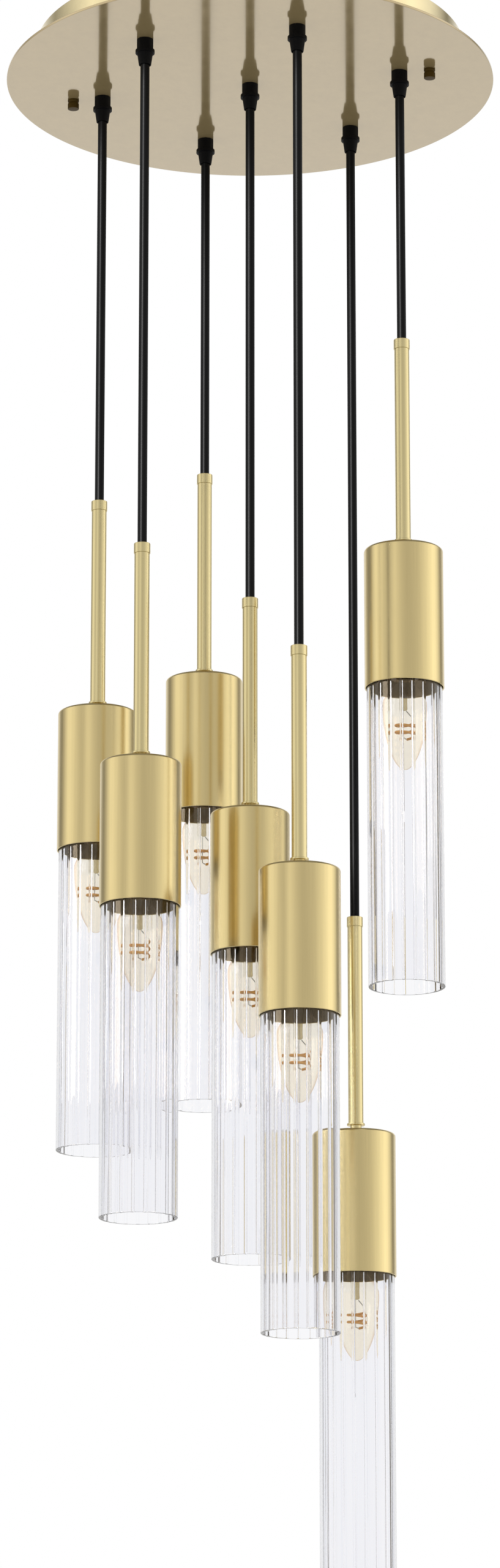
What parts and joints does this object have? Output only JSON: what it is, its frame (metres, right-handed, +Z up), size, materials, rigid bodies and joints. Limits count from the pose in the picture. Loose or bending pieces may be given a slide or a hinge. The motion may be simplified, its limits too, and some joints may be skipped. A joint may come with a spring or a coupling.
{
  "type": "pendant chandelier",
  "caption": "Round canopy with cord-hung pendants, each a thin stem, a metal cup and a ribbed clear glass cylinder round a filament bulb.",
  "frame": {"origin": "centre of the mounting bar's top face, in the plane of the ceiling", "axes": "+Z up into the ceiling; +X along the mounting bar, through the two cap nuts and the left, middle and right pendants; the heads hang towards -Z"},
  "size_m": [0.3999, 0.4, 1.244],
  "materials": {
    "satin_brass": "satin",
    "dark_brass": "satin",
    "brushed_brass": "brushed",
    "steel": "zinc plated",
    "ivory_plastic": "gloss",
    "black_plastic": "matt",
    "black_cord": "smooth",
    "dark_holder": "satin",
    "clear_glass": "clear, ribbed inside",
    "amber_glass": "clear, warm tint",
    "screw_base": "bright"
  },
  "bodies": {
    "canopy": {"canopy_plate": "satin_brass", "canopy_wall": "satin_brass", "mounting_bar": "steel", "studs": "steel", "stud_nuts": "steel", "cap_nuts": "dark_brass", "bar_screws": "steel", "terminal_blocks": "ivory_plastic", "cord_grips": "black_plastic", "grip_nuts": "black_plastic", "cord_tails": "black_cord"},
    "cord_a": {"cord_a": "black_cord"},
    "head_a": {"stem_a": "brushed_brass", "cup_a": "brushed_brass", "socket_a": "dark_holder", "shade_a": "clear_glass"},
    "bulb_a": {"bulb_a": "amber_glass", "bulb_base_a": "screw_base"},
    "cord_b": {"cord_b": "black_cord"},
    "head_b": {"stem_b": "brushed_brass", "cup_b": "brushed_brass", "socket_b": "dark_holder", "shade_b": "clear_glass"},
    "bulb_b": {"bulb_b": "amber_glass", "bulb_base_b": "screw_base"},
    "cord_c": {"cord_c": "black_cord"},
    "head_c": {"stem_c": "brushed_brass", "cup_c": "brushed_brass", "socket_c": "dark_holder", "shade_c": "clear_glass"},
    "bulb_c": {"bulb_c": "amber_glass", "bulb_base_c": "screw_base"},
    "cord_d": {"cord_d": "black_cord"},
    "head_d": {"stem_d": "brushed_brass", "cup_d": "brushed_brass", "socket_d": "dark_holder", "shade_d": "clear_glass"},
    "bulb_d": {"bulb_d": "amber_glass", "bulb_base_d": "screw_base"},
    "cord_e": {"cord_e": "black_cord"},
    "head_e": {"stem_e": "brushed_brass", "cup_e": "brushed_brass", "socket_e": "dark_holder", "shade_e": "clear_glass"},
    "bulb_e": {"bulb_e": "amber_glass", "bulb_base_e": "screw_base"},
    "cord_f": {"cord_f": "black_cord"},
    "head_f": {"stem_f": "brushed_brass", "cup_f": "brushed_brass", "socket_f": "dark_holder", "shade_f": "clear_glass"},
    "bulb_f": {"bulb_f": "amber_glass", "bulb_base_f": "screw_base"},
    "cord_g": {"cord_g": "black_cord"},
    "head_g": {"stem_g": "brushed_brass", "cup_g": "brushed_brass", "socket_g": "dark_holder", "shade_g": "clear_glass"},
    "bulb_g": {"bulb_g": "amber_glass", "bulb_base_g": "screw_base"}
  },
  "joints": [
    {"name": "swing_a", "type": "hinge", "parent": "canopy", "child": "cord_a", "pos_m": [-0.125, 0, -0.0525], "axis": [0, 1, 0], "range_deg": [-3.5, 25]},
    {"name": "swing_b", "type": "hinge", "parent": "canopy", "child": "cord_b", "pos_m": [-0.0625, -0.10825, -0.0525], "axis": [0, 1, 0], "range_deg": [-3.5, 25]},
    {"name": "swing_c", "type": "hinge", "parent": "canopy", "child": "cord_c", "pos_m": [-0.0625, 0.10825, -0.0525], "axis": [0, 1, 0], "range_deg": [-3.5, 25]},
    {"name": "swing_d", "type": "hinge", "parent": "canopy", "child": "cord_d", "pos_m": [0, 0, -0.0525], "axis": [0, 1, 0], "range_deg": [-3.5, 3.5]},
    {"name": "swing_e", "type": "hinge", "parent": "canopy", "child": "cord_e", "pos_m": [0.0625, -0.10825, -0.0525], "axis": [0, 1, 0], "range_deg": [-25, 3.5]},
    {"name": "swing_f", "type": "hinge", "parent": "canopy", "child": "cord_f", "pos_m": [0.0625, 0.10825, -0.0525], "axis": [0, 1, 0], "range_deg": [-25, 3.5]},
    {"name": "swing_g", "type": "hinge", "parent": "canopy", "child": "cord_g", "pos_m": [0.125, 0, -0.0525], "axis": [0, 1, 0], "range_deg": [-25, 3.5]},
    {"name": "tilt_a", "type": "hinge", "parent": "cord_a", "child": "head_a", "pos_m": [-0.125, 0, -0.3825], "axis": [1, 0, 0], "range_deg": [-8, 8]},
    {"name": "tilt_b", "type": "hinge", "parent": "cord_b", "child": "head_b", "pos_m": [-0.0625, -0.10825, -0.4555], "axis": [1, 0, 0], "range_deg": [-8, 8]},
    {"name": "tilt_c", "type": "hinge", "parent": "cord_c", "child": "head_c", "pos_m": [-0.0625, 0.10825, -0.3295], "axis": [1, 0, 0], "range_deg": [-8, 8]},
    {"name": "tilt_d", "type": "hinge", "parent": "cord_d", "child": "head_d", "pos_m": [0, 0, -0.4725], "axis": [1, 0, 0], "range_deg": [-8, 8]},
    {"name": "tilt_e", "type": "hinge", "parent": "cord_e", "child": "head_e", "pos_m": [0.0625, -0.10825, -0.5465], "axis": [1, 0, 0], "range_deg": [-8, 8]},
    {"name": "tilt_f", "type": "hinge", "parent": "cord_f", "child": "head_f", "pos_m": [0.0625, 0.10825, -0.7125], "axis": [1, 0, 0], "range_deg": [-8, 8]},
    {"name": "tilt_g", "type": "hinge", "parent": "cord_g", "child": "head_g", "pos_m": [0.125, 0, -0.2635], "axis": [1, 0, 0], "range_deg": [-8, 8]},
    {"name": "turn_a", "type": "hinge", "parent": "head_a", "child": "bulb_a", "pos_m": [-0.125, 0, -0.6638], "axis": [0, 0, -1], "range_deg": [0, 1080]},
    {"name": "turn_b", "type": "hinge", "parent": "head_b", "child": "bulb_b", "pos_m": [-0.0625, -0.10825, -0.7368], "axis": [0, 0, -1], "range_deg": [0, 1080]},
    {"name": "turn_c", "type": "hinge", "parent": "head_c", "child": "bulb_c", "pos_m": [-0.0625, 0.10825, -0.6108], "axis": [0, 0, -1], "range_deg": [0, 1080]},
    {"name": "turn_d", "type": "hinge", "parent": "head_d", "child": "bulb_d", "pos_m": [0, 0, -0.7538], "axis": [0, 0, -1], "range_deg": [0, 1080]},
    {"name": "turn_e", "type": "hinge", "parent": "head_e", "child": "bulb_e", "pos_m": [0.0625, -0.10825, -0.8278], "axis": [0, 0, -1], "range_deg": [0, 1080]},
    {"name": "turn_f", "type": "hinge", "parent": "head_f", "child": "bulb_f", "pos_m": [0.0625, 0.10825, -0.9938], "axis": [0, 0, -1], "range_deg": [0, 1080]},
    {"name": "turn_g", "type": "hinge", "parent": "head_g", "child": "bulb_g", "pos_m": [0.125, 0, -0.5448], "axis": [0, 0, -1], "range_deg": [0, 1080]}
  ]
}
